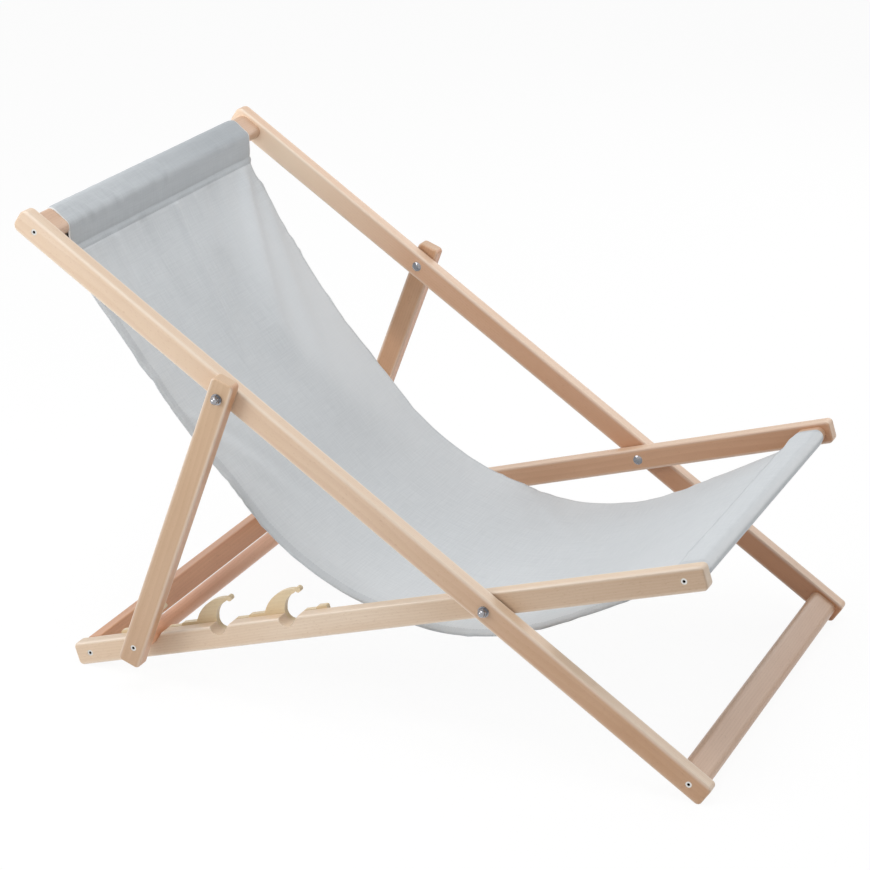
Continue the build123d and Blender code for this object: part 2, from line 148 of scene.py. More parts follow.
def growth_rings(tree, lie, pith):
    """Share of late wood round a pith that runs along X, bent by slow waves along the board."""
    squeezed = add(tree, "ShaderNodeMapping", {"Vector": lie, "Scale": (0.16, 1, 1)})
    waves = add(tree, "ShaderNodeTexNoise", {"Vector": squeezed, "Scale": 14.0, "Detail": 2.0})
    bend = {0: waves.outputs["Color"], 1: (0.5, 0.5, 0.5)}
    bend = add(tree, "ShaderNodeVectorMath", bend, operation="SUBTRACT")
    bend = add(tree, "ShaderNodeVectorMath", {0: bend, "Scale": wave_reach}, operation="SCALE")
    bent = add(tree, "ShaderNodeVectorMath", {0: squeezed, 1: bend}, operation="ADD")
    off_pith = add(tree, "ShaderNodeVectorMath", {0: bent, 1: pith}, operation="SUBTRACT")
    across = {0: off_pith, 1: (0, 1, 1)}
    across = add(tree, "ShaderNodeVectorMath", across, operation="MULTIPLY")
    radius = add(tree, "ShaderNodeVectorMath", {0: across}, operation="LENGTH")
    count = add(tree, "ShaderNodeMath", {0: radius, 1: 1 / ring_width}, operation="MULTIPLY")
    phase = add(tree, "ShaderNodeMath", {0: count}, operation="FRACT")
    rise = add(tree, "ShaderNodeMapRange", {"Value": phase, "From Max": late_wood_start})
    fall = {"Value": phase, "From Min": 1.0, "From Max": late_wood_start}
    fall = add(tree, "ShaderNodeMapRange", fall)
    return add(tree, "ShaderNodeMath", {0: rise, 1: fall}, operation="MULTIPLY")


print("growth rings are", 1000 * ring_width, "mm wide")

# %% [markdown]
# Where a patch of wood or cloth is paler or deeper, its share is worked out from soft edges that
# are multiplied together, each from nothing to full between two places. The first use is a painted
# highlight on the long rounded edges of a rail, where light catches them, so they are drawn paler.
# A place is on one when it is near a side face and near a top or bottom face as well, which
# needs the rail's section and its centre line, found from a pivot and the slope.

# %% Soft-edged patches and painted highlights on long edges
rail_half_thick, rail_half_deep = 0.0095, 0.015
wear_start, wear_full = 0.0045, 0.0005  # how far in from a face the painted highlight starts and is full


def patch(tree, *edges, most=1.0):
    """Share of a patch, 0 outside and `most` inside; each edge is (value, where 0, where full)."""
    share = most
    for value, start, full in edges:
        edge = {"Value": value, "From Min": start, "From Max": full}
        edge = add(tree, "ShaderNodeMapRange", edge)
        share = add(tree, "ShaderNodeMath", {0: edge, 1: share}, operation="MULTIPLY")
    return share


def rail_centre(node, pivot, slope):
    """Middle (y, z) of a rail's section, in the frame that is turned along the rail."""
    return box_middle(node).y, pivot.x * math.sin(slope) + pivot.z * math.cos(slope)


def long_edges(tree, lie, centre):
    """Share of a painted highlight: 1 on the four long edges of a rail and of its twin on the other
    side, and 0 elsewhere.
    """
    place = add(tree, "ShaderNodeSeparateXYZ", {0: lie})
    aside = add(tree, "ShaderNodeMath", {0: place.outputs["Y"]}, operation="ABSOLUTE")
    edges = []
    for here, middle, half in (
        (aside, centre[0], rail_half_thick),
        (place.outputs["Z"], centre[1], rail_half_deep),
    ):
        off = add(tree, "ShaderNodeMath", {0: here, 1: middle}, operation="SUBTRACT")
        off = add(tree, "ShaderNodeMath", {0: off}, operation="ABSOLUTE")
        edges.append((off, half - wear_start, half - wear_full))
    return patch(tree, *edges)


print("rails are", 2000 * rail_half_thick, "by", 2000 * rail_half_deep, "mm in section")

# %% [markdown]
# Light and shade are painted on the boards here. The left-hand rails get a painted shade, darker
# and redder, and faces towards the foot end a redder one. The rails get a painted shade that
# deepens towards the foot, and one left-hand rail a painted light near its head end. A tint
# multiplies the colour below it, while paint covers it. Most of it lies on the broad faces, and the
# surface's own direction tells the faces apart.

# %% Painted light and shade on single boards
left_start, left_full = -0.05, 0.05  # the lounger's middle is at 0, and its left-hand side above
front_start, front_full = 0.4, 0.9  # how squarely a face looks to the foot end
sap_strength = 0.85


def board_tones(tree, colour, given, lie, left_tint=None, heart=None, sap=None, front_tint=None):
    """Lay painted light and shade over a board's colour.

    left_tint is the tint of painted shade on the left-hand board, heart is (x
    where the painted shade starts, x where it is full, tint), sap is (x where the
    painted light ends, x where it is full, colour) on the left-hand board, and front_tint is
    the tint of painted shade on the faces towards the foot end.
    """
    face = add(tree, "ShaderNodeSeparateXYZ", {0: given.outputs["Normal"]})
    broad_face = add(tree, "ShaderNodeMath", {0: face.outputs["Y"]}, operation="ABSOLUTE")
    aside = add(tree, "ShaderNodeSeparateXYZ", {0: given.outputs["Object"]}).outputs["Y"]
    along = add(tree, "ShaderNodeSeparateXYZ", {0: lie}).outputs["X"]
    left = (aside, left_start, left_full)
    # Painted shade: faces towards the foot end are tinted redder and darker
    if front_tint:
        share = patch(tree, (face.outputs["X"], front_start, front_full))
        colour = add(tree, "ShaderNodeMix", {0: share, 6: colour, 7: linear(front_tint)}, **tint)
    # Painted shade: the left-hand board is tinted darker and redder
    if left_tint:
        # The narrow faces take half as much of the tint as the broad ones
        share = patch(tree, left, (broad_face, -1.0, 1.0))
        colour = add(tree, "ShaderNodeMix", {0: share, 6: colour, 7: linear(left_tint)}, **tint)
    # Painted light: the left-hand board is painted paler near its head end
    if sap:
        edges = left, (along, sap[0], sap[1]), (broad_face, 0.0, 1.0)
        share = patch(tree, *edges, most=sap_strength)
        colour = add(tree, "ShaderNodeMix", {0: share, 6: colour, 7: linear(sap[2])}, **paint)
    # Painted shade: the boards' broad faces are tinted darker towards the foot
    if heart:
        share = patch(tree, (along, heart[0], heart[1]), (broad_face, 0.0, 1.0))
        colour = add(tree, "ShaderNodeMix", {0: share, 6: colour, 7: linear(heart[2])}, **tint)
    return colour


print("sapwood covers", sap_strength, "of the colour below it")

# %% [markdown]
# Now the parts of the wood go together. Rings, fibres and flecks each take a share of a deeper
# tone. Oiled beech has an IOR near 1.5 and is satin, and a thin coat of oil turns the top faces
# pale when they are seen at a low angle. A bump of less than a fifth of a millimetre lets the
# fibres stand up and the flecks sink in.

# %% Beech material
ring_strength, fibre_strength, fleck_strength = 0.15, 0.2, 0.26
worn_tone = linear("#F4E8DA")


def beech(name, turn, pith, tones, centre=None, **own_tones):
    """Beech whose grain lies along X after the turn; tones are the pale, warm and dark hex codes.

    centre is (y, z) of a rail's section in the turned frame, and a board without it has no painted
    edge highlight.
    own_tones are those of board_tones.
    """
    pale, warm, dark = (linear(code) for code in tones)
    material, tree, shader = new_material(name)
    given = add(tree, "ShaderNodeTexCoord")
    lie = add(tree, "ShaderNodeMapping", {"Vector": given.outputs["Object"], "Rotation": turn})

    # Broad changes of tone over some 40 mm across and 300 mm along the board
    broad = streaks(tree, lie, (0.13, 1, 1), 24.0, 3.0)
    colour = add(tree, "ShaderNodeValToRGB", {"Fac": broad})
    for stop, place, tone in zip(colour.color_ramp.elements, (0.3, 0.62), (pale, warm)):
        stop.position, stop.color = place, tone

    # Fibres 1 mm wide and 40 mm long. Flecks, the peaks of a noise, are 3 mm long and narrow
    fibres = streaks(tree, lie, (0.03, 1, 1), 900.0, 2.0)
    fleck_noise = streaks(tree, lie, (0.28, 1, 1), 820.0, 1.0)
    flecks = patch(tree, (fleck_noise, 0.62, 0.74))
    for pattern, start, full, strength, tone in (
        (growth_rings(tree, lie, pith), 0.0, 1.0, ring_strength, dark),
        (fibres, 0.3, 0.7, fibre_strength, warm),
        (flecks, 0.0, 1.0, fleck_strength, dark),
    ):
        share = patch(tree, (pattern, start, full), most=strength)
        colour = add(tree, "ShaderNodeMix", {0: share, 6: colour, 7: tone}, **paint)

    colour = board_tones(tree, colour, given, lie, **own_tones)
    # Painted highlight: the long rounded edges of a rail are painted paler, where light catches
    # them
    if centre:
        worn = {0: long_edges(tree, lie, centre), 1: broad}
        worn = add(tree, "ShaderNodeMath", worn, operation="MULTIPLY")
        colour = add(tree, "ShaderNodeMix", {0: worn, 6: colour, 7: worn_tone}, **paint)

    rough = add(tree, "ShaderNodeMapRange", {"Value": fibres, "To Min": 0.45, "To Max": 0.6})
    height = add(tree, "ShaderNodeMath", {0: fibres, 1: flecks}, operation="SUBTRACT")
    bump = {"Height": height, "Strength": 0.25, "Distance": 0.00015}
    bump = add(tree, "ShaderNodeBump", bump)
    feed(shader, {"Base Color": colour, "Roughness": rough, "Normal": bump})
    feed(shader, {"IOR": 1.5, "Coat Weight": 0.7, "Coat Roughness": 0.4})
    return material


print("rings, fibres and flecks take", ring_strength, fibre_strength, fleck_strength, "of a tone")

# %% [markdown]
# Each kind of board gets a material of its own, with the grain turned along it and the pith to one
# side. The back rails, seat rails and prop legs differ a little in tone, the cross bars are the
# deepest, and the dowel is steamed beech, which is redder. All hex codes are matched to the object.

# %% The lounger's boards
across_grain = (0, 0, math.radians(-90))
beech_back = beech(
    "beech_back_rails",
    turn=(0, -back_slope, 0),
    pith=(0, 0.33, 0.06),
    tones=("#EEDBC6", "#E1C7AC", "#BC926E"),
    centre=rail_centre("back_rail_left", main_pivot, back_slope),
    left_tint="#FBE2D2",
    heart=(-0.42, 0.25, "#D8BEA7"),
    sap=(-0.38, -0.6, "#FFE8CE"),
)
beech_seat = beech(
    "beech_seat_rails",
    turn=(0, -seat_slope, 0),
    pith=(0, -0.36, -0.05),
    tones=("#E9D6C0", "#DCC3A8", "#B28B68"),
    centre=rail_centre("seat_rail_left", main_pivot, seat_slope),
    left_tint="#F2D4C0",
    heart=(-0.05, 0.4, "#E6DDD5"),
)
beech_prop = beech(
    "beech_prop_legs",
    turn=(0, -prop_slope, 0),
    pith=(0, 0.37, 0.04),
    tones=("#DABD9E", "#CBAA88", "#A47955"),
    centre=rail_centre("prop_leg_left", prop_pivot, prop_slope),
    left_tint="#FAE8DC",
    heart=(-0.3, 0.05, "#E7DED8"),
    front_tint="#FFE4D2",
)
cross_tones, rear_tones = ("#D9B89D", "#CBA587", "#9C7052"), ("#DEA478", "#CC8F65", "#9A5F3B")
dowel_tones, plate_tones = ("#F2B892", "#E5A67F", "#AE6C45"), ("#E8D6B6", "#DDC7A0", "#B6996C")
beech_cross = beech("beech_cross_bars", across_grain, (0, 0.05, 0.09), cross_tones)
beech_rear = beech("beech_rear_bar", across_grain, (0, 0.44, 0.05), rear_tones)
beech_dowel = beech("steamed_beech_dowel", across_grain, (0, 0.05, 0.12), dowel_tones)
beech_plate = beech("beech_hook_plates", (0, -seat_slope, 0), (0, 0.02, -0.06), plate_tones)
print("kinds of beech:", sum("beech" in material.name for material in bpy.data.materials))

# %% [markdown]
# Bolts, washers and cap nuts are steel with bright nickel plating: nearly a mirror, so what shows
# is the studio around it. Metals take their look from colour and roughness, and keep the default
# IOR. Fine polishing lines and a few dull patches stop the surface from looking like a computer's.
# The wood screws are zinc plated and tumbled, which leaves them paler and duller, and the hexagon
# socket in each head is dark with shade and dust, so it is drawn dark from a millimetre down.

# %% Metal materials
socket_start, socket_full = 0.0003, 0.0012  # how far below a screw's face its socket is dark


def plated_steel(name, colours, low, high, grit, face_y=None):
    """Plated steel of roughness low to high; face_y is how far aside a screw's face lies."""
    material, tree, shader = new_material(name)
    place = add(tree, "ShaderNodeTexCoord").outputs["Object"]
    # Dull patches some 2.5 mm wide, and the marks of the grit
    patches = add(tree, "ShaderNodeTexNoise", {"Vector": place, "Scale": 400.0, "Detail": 3.0})
    lines = add(tree, "ShaderNodeTexNoise", {"Vector": place, "Scale": grit, "Detail": 2.0})
    bright, dull = (linear(code) for code in colours)
    plate = add(tree, "ShaderNodeMix", {0: patches, 6: bright, 7: dull}, **paint)
    if face_y:
        aside = add(tree, "ShaderNodeSeparateXYZ", {0: place}).outputs["Y"]
        aside = add(tree, "ShaderNodeMath", {0: aside}, operation="ABSOLUTE")
        deep = patch(tree, (aside, face_y - socket_start, face_y - socket_full))
        plate = add(tree, "ShaderNodeMix", {0: deep, 6: plate, 7: linear("#1E1C1A")}, **paint)
    rough = add(tree, "ShaderNodeMapRange", {"Value": patches, "To Min": low, "To Max": high})
    bump = add(tree, "ShaderNodeBump", {"Height": lines, "Strength": 0.08, "Distance": 0.00003})
    feed(shader, {"Base Color": plate, "Roughness": rough, "Metallic": 1.0, "Normal": bump})
    return material


def zinc_screw(name, face_y=None):
    """Zinc plating on wood screws: marks of the tumbling are about 0.8 mm apart."""
    return plated_steel(name, ("#EBEAE6", "#C4C3BF"), 0.3, 0.45, 1 / 0.0008, face_y)


# Polishing grit leaves marks about 0.3 mm apart
nickel_plate = plated_steel("nickel_plated_steel", ("#B4B4B7", "#85858A"), 0.08, 0.2, 1 / 0.0003)
zinc_plate = zinc_screw("zinc_plated_steel")
print("metals:", nickel_plate.name, "and", zinc_plate.name)

# %% [markdown]
# Every rigid CAD piece keeps its own mesh and gets the finish of its kind, found by the start of
# its name. The screws in the rails need one material for each distance of their faces from the
# middle, because the dark of a socket is measured down from the face.

# %% Dress the CAD pieces
finishes = {
    "back_rail": beech_back,
    "seat_rail": beech_seat,
    "prop_leg": beech_prop,
    "hook_plate_screws": zinc_plate,
    "hook_plate": beech_plate,
    "head_bar": beech_cross,
    "foot_bar": beech_cross,
    "front_bar": beech_cross,
    "rear_bar": beech_rear,
    "prop_dowel": beech_dowel,
    "prop_pivot": nickel_plate,
    "main_pivot": nickel_plate,
}
screw_finishes = {}
for name, node in frame["nodes"].items():
    finish = next((finishes[start] for start in finishes if name.startswith(start)), None)
    if name.endswith("_screws") and finish is not zinc_plate:
        face_y = round(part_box(name)[1].y, 4)
        if face_y not in screw_finishes:
            screw_name = f"zinc_plated_screw_{round(face_y * 1000)}"
            screw_finishes[face_y] = zinc_screw(screw_name, face_y)
        finish = screw_finishes[face_y]
    if finish:
        node.data.materials.clear()
        node.data.materials.append(finish)
print("dressed", sum(bool(node.data.materials) for node in frame["nodes"].values()), "nodes")

# %% [markdown]
# The sling is one strip of plain cotton canvas. Each end is turned over a bar and sewn to itself,
# which makes a pocket, and each long edge has a narrow hem. It hangs slack between the bars, so its
# side view is a smooth curve, lowest behind the main pivot. A few points are enough to draw it.

# %% Points that the cloth hangs through
# (along, up) from the main pivot, metres
hang_points = [
    (-0.5490, 0.3152),
    (-0.5098, 0.2610),
    (-0.4394, 0.1671),
    (-0.3750, 0.0949),
    (-0.2985, 0.0163),
    (-0.2210, -0.0305),
    (-0.1520, -0.0518),
    (-0.0900, -0.0626),
    (-0.0300, -0.0577),
    (0.0293, -0.0412),
    (0.0963, -0.0070),
    (0.1540, 0.0254),
]
lowest = min(hang_points, key=lambda point: point[1])
print(f"the cloth hangs {-1000 * lowest[1]:.0f} mm below the main pivot")

# %% [markdown]
# A spline that goes through its points turns them into a smooth line. A Blender curve would do so
# too, but the cloth needs rows at chosen steps along the line, so it is worked out in numbers: the
# distance along the line is measured, and points are read off it, closer together near the seams.

# %% Smooth lines and even steps
spline_steps = 40


def smooth_line(points):
    """Close points along a Catmull-Rom spline through the given points."""
    points = np.array(points, float)
    ends = np.vstack([2 * points[0] - points[1], points, 2 * points[-1] - points[-2]])
    fine = []
    for p0, p1, p2, p3 in zip(ends[:-3], ends[1:-2], ends[2:-1], ends[3:]):
        t = np.linspace(0, 1, spline_steps, endpoint=False)[:, None]
        bend = 2 * p0 - 5 * p1 + 4 * p2 - p3
        turn = 3 * p1 - p0 - 3 * p2 + p3
        fine.append(0.5 * (2 * p1 + (p2 - p0) * t + bend * t**2 + turn * t**3))
    return np.vstack(fine + [points[-1:]])


def reach_along(points):
    """Distance along a line up to each of its points."""
    return np.r_[0, np.cumsum(np.linalg.norm(np.diff(points, axis=0), axis=1))]


def stepped(points, step, close_from=0.0, close_to=0.0, close_step=0.0012):
    """Points at even steps along a line, and closer ones near a seam at its start or end."""
    points = np.array(points, float)
    reach = reach_along(points)
    marks = [0.0, close_from, reach[-1] - close_to, reach[-1]]
    steps = [reach[-1]]
    for low, high, size in zip(marks[:-1], marks[1:], (close_step, step, close_step)):
        if high > low:
            steps += list(np.linspace(low, high, int(round((high - low) / size)) + 1)[:-1])
    return np.stack([np.interp(sorted(steps), reach, points[:, i]) for i in (0, 1)], 1)


print("spline length through the points", round(reach_along(smooth_line(hang_points))[-1], 3), "m")

# %% [markdown]
# A pocket follows the bar inside it: over the top, round the bullnosed edges and back along the
# underside to the seam. Half a cloth's thickness and a hair of air keep it off the wood. From the
# rounded edge the cloth leaves the bar in a straight pull down to the seam, a little blown out.

# %% The pockets round the two bars
cloth_thickness = 0.0009
bar_half_wide, bar_half_thick, bullnose = 0.019, 0.0095, 0.0093
pocket_off = cloth_thickness / 2 + 0.0004
nose_round = bullnose + pocket_off


def nose(across, up, first, last, steps=9):
    """Arc round one corner of a bar, from one angle to another; across and up are -1 or 1."""
    centre_across = across * (bar_half_wide + pocket_off - nose_round)
    centre_up = up * (bar_half_thick + pocket_off - nose_round)
    arc = []
    for angle in np.radians(np.linspace(first, last, steps)):
        right, above = nose_round * math.cos(angle), nose_round * math.sin(angle)
        arc.append((centre_across + right, centre_up + above))
    return arc


# Head pocket, from the loose end behind the seam, under and round the bar, to the seam in front
head_tail = [(0.0345, -0.0262), (0.0322, -0.0186)]
head_round_bar = nose(-1, -1, -90, -180) + nose(-1, 1, 180, 90) + nose(1, 1, 90, 34)
head_pull = [(0.0226, -0.0006), (0.0270, -0.0065), (0.0330, -0.0165)]
head_path = head_tail + head_round_bar + head_pull

# Front pocket, from its seam over the top of the bar and round below, back to the loose end
front_seam = [(-0.0360, -0.0092)]
front_round_bar = nose(-1, 1, 130, 90) + nose(1, 1, 90, 0) + nose(1, -1, 0, -90)
front_tail = [(-0.0352, -0.0106), (-0.0425, -0.0128)]
front_path = front_seam + front_round_bar + front_tail
print("points round the bars:", len(head_path), "at the head and", len(front_path), "in front")

# %% [markdown]
# The two pockets and the hanging part are joined into one line from the cloth's first end to its
# last, cut at even steps that are closer at the pockets and closest beside the seams, where the
# stitches draw grooves. The length of this line is the length that the cloth was cut to.

# %% The cloth's whole side view
pocket_step, cloth_step = 0.0022, 0.0046


def on_rail(middle, slope, along, up):
    """(x, z) of a place given from a bar's middle, along and up from its rail."""
    x = middle.x + along * math.cos(slope) + up * math.sin(slope)
    z = middle.z - along * math.sin(slope) + up * math.cos(slope)
    return x, z


head_line = [on_rail(head_bar_middle, back_slope, *place) for place in head_path]
front_line = [on_rail(front_bar_middle, seat_slope, *place) for place in front_path]
hang_line = [(main_pivot.x + along, main_pivot.z + up) for along, up in hang_points]
hang_line = smooth_line([head_line[-1], *hang_line, front_line[0]])
# The closest steps reach a little further from each seam than its rows of stitches
head_run = stepped(head_line, pocket_step, close_to=0.008)
hang_run = stepped(hang_line, cloth_step, close_from=0.013, close_to=0.012)
front_run = stepped(front_line, pocket_step, close_from=0.006)
side_line = np.vstack([head_run[:-1], hang_run, front_run[1:]])
side_reach = reach_along(side_line)
head_seam_reach = side_reach[len(head_run) - 1]
front_seam_reach = side_reach[len(head_run) + len(hang_run) - 2]
hang_length = front_seam_reach - head_seam_reach

# %% [markdown]
# The hanging part is not flat. Long soft folds run down from the head seam, and from its far corner
# in towards the middle, where the weight of the cloth pulls. Each fold is a narrow ridge or valley
# along a slanted line, fading at both ends: 2 to 8 mm high, and it sways a few millimetres.

# %% Long folds, as a height over the flat cloth
folds = [
    # (across at the top, across at the bottom, start, end, height, width), metres
    (0.013, -0.030, -0.004, 0.260, 0.0044, 0.0085),
    (0.190, 0.074, 0.012, 0.235, 0.0076, 0.0190),
    (0.232, 0.100, 0.030, 0.310, 0.0044, 0.0180),
    (0.118, 0.050, 0.000, 0.190, -0.0044, 0.0190),
    (-0.060, -0.085, 0.000, 0.170, -0.0036, 0.0150),
    (-0.140, -0.150, -0.004, 0.130, 0.0034, 0.0120),
    (0.048, 0.020, 0.090, 0.330, -0.0042, 0.0210),
    (0.075, 0.120, 0.200, 0.420, 0.0030, 0.0240),
    (-0.205, -0.135, 0.240, 0.400, 0.0030, 0.0140),
    (-0.165, -0.090, 0.270, 0.430, -0.0024, 0.0150),
    (0.170, 0.060, 0.640, 0.760, 0.0016, 0.0200),
]
fold_sway = 0.004


def soft_step(value):
    """0 below 0, 1 above 1, and a smooth rise between."""
    value = np.clip(value, 0, 1)
    return value * value * (3 - 2 * value)


def ridge(distance, width):
    """1 on a line and 0 well away from it, over a bell of the given width."""
    return np.exp(-((distance / width) ** 2))


def fold_height(across, down):
    """Sum of the long folds at a place across the cloth and down from the head seam."""
    height = np.zeros_like(across)
    for top, bottom, start, end, size, width in folds:
        # It rises over its first tenth, fades over its last half, and widens on its way down
        share = (down - start) / (end - start)
        middle = top + (bottom - top) * share + fold_sway * np.sin(share * 5 + top * 40)
        fade = soft_step((share + 0.06) / 0.16) * soft_step((1.15 - share) / 0.5)
        wider = width * (0.7 + 0.6 * share.clip(0, 1))
        height += size * fade * ridge(across - middle, wider)
    return height


print(len(folds), "folds, the highest", 1000 * max(size for *_, size, _ in folds), "mm")

# %% [markdown]
# Sewing pulls a cloth in, which leaves small puckers along both hems and below the two seams, 1 to
# 2 mm high. No one places these by hand, so numbers from a seeded generator do: the seed makes
# them fall the same way each time that the script runs.

# %% Puckers along hems and seams
hem_puckers, seam_puckers = 34, 22
pucker_reach = (0.004, 0.010)
hem_pucker_height, seam_pucker_height = (-0.0016, 0.0020), (0.0005, 0.0017)
hem_pucker_fade, seam_pucker_fade = (0.008, 0.020), (0.015, 0.045)
corner_clear = 0.02  # hem puckers keep clear of the corners, and seam puckers end at 0.22 across


def pucker_height(across, down, length, half_width, rng):
    """Small puckers along both hems, and below the two seams."""
    height = np.zeros_like(across)
    for side in (-1, 1):
        for _ in range(hem_puckers):
            place = rng.uniform(corner_clear, length - corner_clear)
            reach = rng.uniform(*pucker_reach)
            size = rng.uniform(*hem_pucker_height)
            from_edge = half_width - side * across
            near_edge = np.exp(-(from_edge / rng.uniform(*hem_pucker_fade)))
            height += size * near_edge * ridge(down - place, reach)
    for seam, away in ((0.0, 1), (length, -1)):
        for _ in range(seam_puckers):
            place, reach = rng.uniform(-0.22, 0.22), rng.uniform(*pucker_reach)
            size = rng.uniform(*seam_pucker_height)
            below = np.exp(-(away * (down - seam)) / rng.uniform(*seam_pucker_fade))
            height += size * np.clip(below, 0, 1) * ridge(across - place, reach)
    return height


print("puckers:", 2 * hem_puckers, "along the hems and", 2 * seam_puckers, "at the seams")

# %% [markdown]
# A seam is two rows of stitches 8 mm apart through two layers. The thread sinks into the cloth and
# leaves a groove on each row, and the doubled band between them stands up a little. Along the side
# hems there is one row, and the tight thread curls the edge outside it downwards.

# %% Seam grooves and hem curl
head_rows, front_rows = (-0.0012, 0.0066), (-0.0066, 0.0012)  # rows of stitches, from each seam
groove_deep, groove_wide = 0.0008, 0.0013
band_lift, band_half, band_fade = 0.0006, 0.0055, 0.0025
hem_row = 0.0095  # the hem's row of stitches, in from the edge
hem_groove_deep, hem_groove_wide, curl_deep = 0.0006, 0.0016, 0.0046


def seam_height(down, length):
    """Grooves on the stitch rows of both seams, and the doubled band between them."""
    height = np.zeros_like(down)
    for seam, rows_here in ((0.0, head_rows), (length, front_rows)):
        for row in rows_here:
            height -= groove_deep * ridge(down - seam - row, groove_wide)
        middle = seam + sum(rows_here) / 2
        height += band_lift * soft_step((band_half - np.abs(down - middle)) / band_fade)
    return height


def hem_height(across, half_width):
    """A groove on the hem's stitch row, and the edge outside it curling down."""
    from_edge = half_width - np.abs(across)
    groove = -hem_groove_deep * ridge(from_edge - hem_row, hem_groove_wide)
    return groove - curl_deep * np.clip(1 - from_edge / hem_row, 0, 1) ** 1.5


print("rows of stitches lie", round(1000 * (head_rows[1] - head_rows[0]), 1), "mm apart")

# %% [markdown]
# A pocket is pulled over its bar like a sleeve. The head pocket shows short soft folds over its
# top, mostly near its right-hand end, and stands off the bar's rear upper edge where it turns. The
# front pocket, under more pull, has only a few faint ones.

# %% Folds on the pockets
head_pocket_folds = [
    # (across, lean, height, width), metres, and metres across for each metre down
    (-0.206, 0.45, 0.0022, 0.0050),
    (-0.184, 0.44, 0.0030, 0.0055),
    (-0.155, 0.40, 0.0019, 0.0060),
    (-0.122, 0.44, 0.0032, 0.0060),
    (-0.082, 0.30, 0.0021, 0.0070),
    (-0.030, 0.20, 0.0017, 0.0080),
    (0.006, -0.07, 0.0034, 0.0048),
    (0.140, 0.10, 0.0016, 0.0090),
    (0.190, -0.20, 0.0018, 0.0070),
]
front_pocket_folds = [
    # (across, height), metres
    (-0.19, 0.0010),
    (-0.12, 0.0008),
    (0.03, 0.0010),
    (0.14, 0.0009),
    (0.20, 0.0011),
]
pocket_top, pocket_rear = -0.043, -0.056  # down from the head seam, to the bar's top and rear edge
lean_from = -0.050
top_fade, rear_lift, rear_fade = 0.015, 0.0014, 0.011
front_top, front_fade, front_fold_wide = 0.03, 0.02, 0.009


def pocket_fold_height(across, down, length):
    """Short soft folds over the head pocket, and a few on the front pocket."""
    height = np.zeros_like(across)
    on_top = ridge(down - pocket_top, top_fade)
    for place, lean, size, width in head_pocket_folds:
        middle = place + lean * (down - lean_from)
        height += size * on_top * ridge(across - middle, width)
    height += rear_lift * ridge(down - pocket_rear, rear_fade)
    on_front = ridge(down - length - front_top, front_fade)
    for place, size in front_pocket_folds:
        height += size * on_front * ridge(across - place, front_fold_wide)
    return height


print("folds on the pockets:", len(head_pocket_folds), "and", len(front_pocket_folds))

# %% [markdown]
# The shape of the whole cloth is the side view, moved out along its own normal by the sum of all
# these heights. Between the bars the cloth is also drawn in at both sides, and it has a shallow
# hollow along its middle. Folds and hollow fade out at the seams, where the bars hold it straight.

# %% The cloth's surface
half_width_at_bars, half_width_midway = 0.229, 0.221
slack_reach, hollow_deep = 0.22, 0.006
seam_fade = 0.012
pocket_hem_share = 0.25  # a hem inside a pocket is pulled flat, and keeps this much of its curl

tangents = np.gradient(side_line, axis=0)
tangents /= np.linalg.norm(tangents, axis=1)[:, None]
normals = np.stack([-tangents[:, 1], tangents[:, 0]], 1)
down_all = side_reach - head_seam_reach
slack = soft_step(down_all / slack_reach) * soft_step((hang_length - down_all) / slack_reach)
half_widths = half_width_at_bars + (half_width_midway - half_width_at_bars) * slack


def cloth_surface(shares, offset=0.0):
    """Points of the cloth for shares of the half width from -1 to 1, one row for each step."""
    rng = np.random.default_rng(7)
    half_width = half_widths[:, None]
    across = half_width * shares[None, :]
    down = np.repeat(down_all[:, None], len(shares), axis=1)
    hanging = soft_step(down / seam_fade) * soft_step((hang_length - down) / seam_fade)
    height = fold_height(across, down) + pucker_height(across, down, hang_length, half_width, rng)
    hollow = -hollow_deep * slack[:, None] * (1 - shares[None, :] ** 2)
    height = hanging * (height + hollow) + offset
    height += seam_height(down, hang_length) + pocket_fold_height(across, down, hang_length)
    hem_share = pocket_hem_share + (1 - pocket_hem_share) * hanging
    height += hem_height(across, half_width) * hem_share
    x = side_line[:, 0][:, None] + normals[:, 0][:, None] * height
    z = side_line[:, 1][:, None] + normals[:, 1][:, None] * height
    return np.stack([x, across, z], 2)


print(f"the cloth is {2000 * half_widths.max():.0f} to {2000 * half_widths.min():.0f} mm wide")

# %% [markdown]
# The sheet starts as a grid from the Add menu, with a row for each step of the side view. Its
# points are then laid on the surface by numbers, because no operator hangs cloth through pockets.
# A UV map in metres of flat cloth goes on as well, so that the weave follows it.

# %% Lay a grid of cloth along the side view
rows, columns = len(side_line), 113


def cloth_grid(name, shares, offset=0.0):
    """A grid from the Add menu, laid on the cloth's surface, with UVs in metres."""
    bpy.ops.object.select_all(action="DESELECT")
    cuts_across, cuts_along = len(shares) - 1, rows - 1
    bpy.ops.mesh.primitive_grid_add(x_subdivisions=cuts_across, y_subdivisions=cuts_along, size=2)
    piece = bpy.context.object
    piece.name = name
    mesh = piece.data
    flat = np.zeros(len(mesh.vertices) * 3)
    mesh.vertices.foreach_get("co", flat)
    flat = flat.reshape(-1, 3)
    column = np.rint((flat[:, 0] + 1) / 2 * cuts_across).astype(int)
    row = np.rint((flat[:, 1] + 1) / 2 * cuts_along).astype(int)
    surface = cloth_surface(shares, offset)
    mesh.vertices.foreach_set("co", surface[row, column].ravel())
    loops = np.zeros(len(mesh.loops), int)
    mesh.loops.foreach_get("vertex_index", loops)
    flat_across = half_width_at_bars * shares[column]
    uv = np.stack([flat_across[loops], side_reach[row][loops]], 1)
    mesh.uv_layers.active.data.foreach_set("uv", uv.ravel())
    mesh.update()
    return piece


sling = cloth_grid("sling_cloth", np.linspace(-1, 1, columns))
print("sling grid of", rows, "by", columns, "points")

# %% [markdown]
# So far the sheet has no thickness. A Solidify modifier gives it some to both sides of its middle
# and closes its edges, with even offset so that it stays as thick where it turns round a bar. The
# modifier is applied, so that the mesh itself holds the shape.


